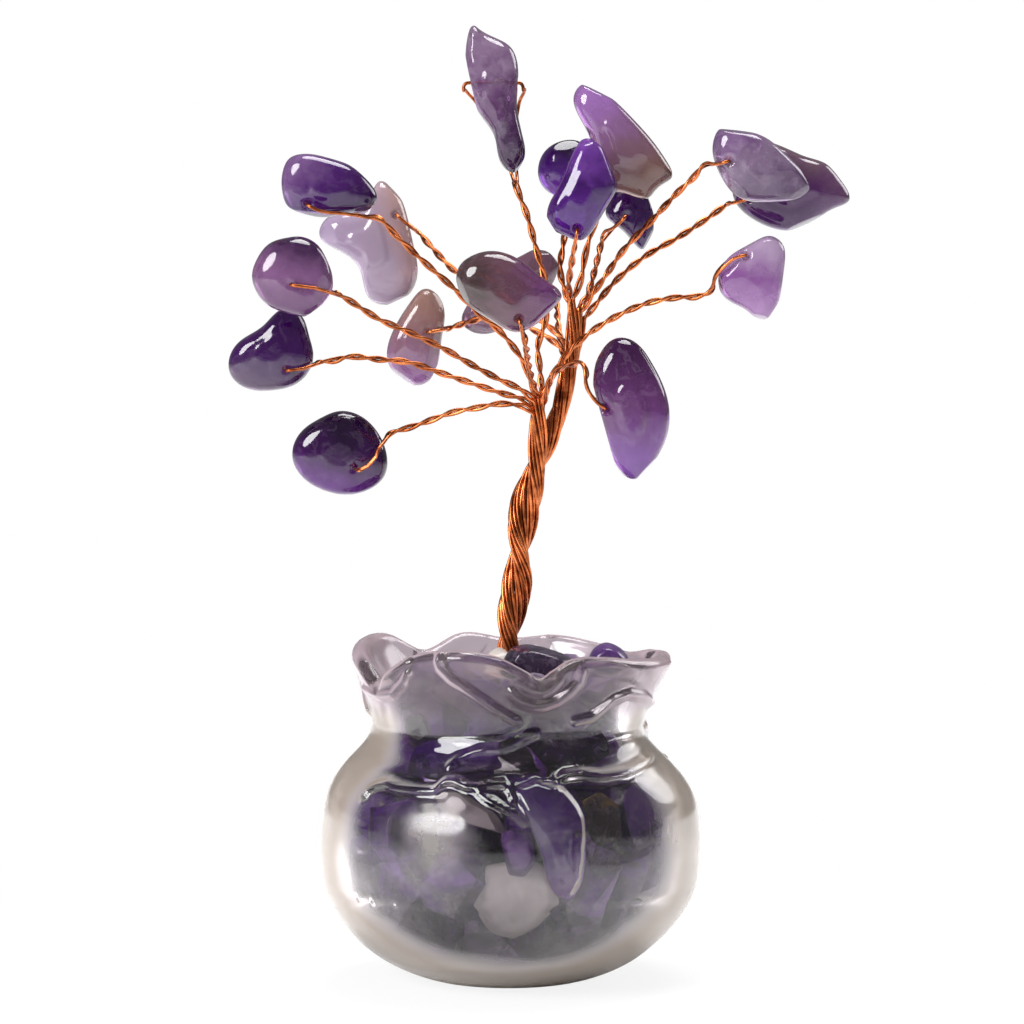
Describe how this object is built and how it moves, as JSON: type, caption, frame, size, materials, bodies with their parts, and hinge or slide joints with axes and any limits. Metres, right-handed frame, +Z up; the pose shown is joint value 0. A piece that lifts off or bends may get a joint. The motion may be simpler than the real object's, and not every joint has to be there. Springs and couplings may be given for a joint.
{
  "type": "gemstone tree ornament",
  "caption": "Small gemstone tree: twisted copper wire trunk and branches with drilled amethyst chips for leaves, set in amethyst chips in a glass pot shaped like a tied pouch.",
  "frame": {"origin": "middle of the pot's flat foot, on the surface it stands on", "axes": "+Z up along the pot's axis, +X to the viewer's right, -Y towards the viewer"},
  "size_m": [0.0588, 0.0372, 0.0899],
  "materials": {
    "clouded_glass": "glossy cloudy smoked glass",
    "copper_wire": "bare drawn copper wire, satin",
    "amethyst_leaf": "tumbled translucent amethyst, polished",
    "amethyst_filling": "tumbled amethyst chips",
    "glue": "clear set glue"
  },
  "bodies": {
    "tree": {"glass_pot": "clouded_glass", "glue_plug": "glue", "filling_floor": "amethyst_filling", "filling_lower": "amethyst_filling", "filling_middle": "amethyst_filling", "filling_shoulder": "amethyst_filling", "filling_neck": "amethyst_filling", "filling_top": "amethyst_filling", "branch_wire_01": "copper_wire", "branch_wire_02": "copper_wire", "branch_wire_03": "copper_wire", "branch_wire_04": "copper_wire", "branch_wire_05": "copper_wire", "branch_wire_06": "copper_wire", "branch_wire_07": "copper_wire", "branch_wire_08": "copper_wire", "branch_wire_09": "copper_wire", "branch_wire_10": "copper_wire", "branch_wire_11": "copper_wire", "branch_wire_12": "copper_wire", "branch_wire_13": "copper_wire", "branch_wire_14": "copper_wire", "branch_wire_15": "copper_wire", "branch_wire_16": "copper_wire", "branch_wire_17": "copper_wire"},
    "leaf_01": {"leaf_stone_01": "amethyst_leaf"},
    "leaf_02": {"leaf_stone_02": "amethyst_leaf"},
    "leaf_03": {"leaf_stone_03": "amethyst_leaf"},
    "leaf_04": {"leaf_stone_04": "amethyst_leaf"},
    "leaf_05": {"leaf_stone_05": "amethyst_leaf"},
    "leaf_06": {"leaf_stone_06": "amethyst_leaf"},
    "leaf_07": {"leaf_stone_07": "amethyst_leaf"},
    "leaf_08": {"leaf_stone_08": "amethyst_leaf"},
    "leaf_09": {"leaf_stone_09": "amethyst_leaf"},
    "leaf_10": {"leaf_stone_10": "amethyst_leaf"},
    "leaf_11": {"leaf_stone_11": "amethyst_leaf"},
    "leaf_12": {"leaf_stone_12": "amethyst_leaf"},
    "leaf_13": {"leaf_stone_13": "amethyst_leaf"},
    "leaf_14": {"leaf_stone_14": "amethyst_leaf"},
    "leaf_15": {"leaf_stone_15": "amethyst_leaf"},
    "leaf_16": {"leaf_stone_16": "amethyst_leaf"},
    "leaf_17": {"leaf_stone_17": "amethyst_leaf"}
  },
  "joints": [
    {"name": "leaf_01_rock", "type": "hinge", "parent": "tree", "child": "leaf_01", "pos_m": [-0.00141, 0, 0.08447], "axis": [1, 0, 0], "range_deg": [-3, 3]},
    {"name": "leaf_02_rock", "type": "hinge", "parent": "tree", "child": "leaf_02", "pos_m": [-0.01885, 0, 0.07312], "axis": [0, 1, 0], "range_deg": [-6, 6]},
    {"name": "leaf_03_rock", "type": "hinge", "parent": "tree", "child": "leaf_03", "pos_m": [-0.01997, -0.00808, 0.06589], "axis": [0, 1, 0], "range_deg": [-6, 6]},
    {"name": "leaf_04_rock", "type": "hinge", "parent": "tree", "child": "leaf_04", "pos_m": [-0.02082, 0, 0.05762], "axis": [0, 1, 0], "range_deg": [-6, 6]},
    {"name": "leaf_05_rock", "type": "hinge", "parent": "tree", "child": "leaf_05", "pos_m": [-0.0146, 0, 0.04845], "axis": [0, 1, 0], "range_deg": [-6, 6]},
    {"name": "leaf_06_rock", "type": "hinge", "parent": "tree", "child": "leaf_06", "pos_m": [-0.01086, 0.01257, 0.07201], "axis": [0, 1, 0], "range_deg": [-6, 6]},
    {"name": "leaf_07_rock", "type": "hinge", "parent": "tree", "child": "leaf_07", "pos_m": [-0.00782, 0.01078, 0.06079], "axis": [0, 1, 0], "range_deg": [-6, 6]},
    {"name": "leaf_08_rock", "type": "hinge", "parent": "tree", "child": "leaf_08", "pos_m": [0.00092, -0.00988, 0.0628], "axis": [0, 1, 0], "range_deg": [-6, 6]},
    {"name": "leaf_09_rock", "type": "hinge", "parent": "tree", "child": "leaf_09", "pos_m": [0.00974, 0.00162, 0.07567], "axis": [0, 1, 0], "range_deg": [-6, 6]},
    {"name": "leaf_10_rock", "type": "hinge", "parent": "tree", "child": "leaf_10", "pos_m": [0.00635, -0.00359, 0.07092], "axis": [0, 1, 0], "range_deg": [-6, 6]},
    {"name": "leaf_11_rock", "type": "hinge", "parent": "tree", "child": "leaf_11", "pos_m": [0.0061, 0.00494, 0.07488], "axis": [0, 1, 0], "range_deg": [-6, 6]},
    {"name": "leaf_12_rock", "type": "hinge", "parent": "tree", "child": "leaf_12", "pos_m": [0.01112, 0.00763, 0.07198], "axis": [0, 1, 0], "range_deg": [-6, 6]},
    {"name": "leaf_13_rock", "type": "hinge", "parent": "tree", "child": "leaf_13", "pos_m": [0.02058, 0.0009, 0.07719], "axis": [0, 1, 0], "range_deg": [-6, 6]},
    {"name": "leaf_14_rock", "type": "hinge", "parent": "tree", "child": "leaf_14", "pos_m": [0.02275, 0.00629, 0.07363], "axis": [0, 1, 0], "range_deg": [-6, 6]},
    {"name": "leaf_15_rock", "type": "hinge", "parent": "tree", "child": "leaf_15", "pos_m": [0.02209, -0.00108, 0.06842], "axis": [0, 1, 0], "range_deg": [-6, 6]},
    {"name": "leaf_16_rock", "type": "hinge", "parent": "tree", "child": "leaf_16", "pos_m": [0.00886, -0.00898, 0.05453], "axis": [0, 1, 0], "range_deg": [-6, 6]},
    {"name": "leaf_17_rock", "type": "hinge", "parent": "tree", "child": "leaf_17", "pos_m": [0.0031, 0.01149, 0.0662], "axis": [0, 1, 0], "range_deg": [-6, 6]}
  ]
}
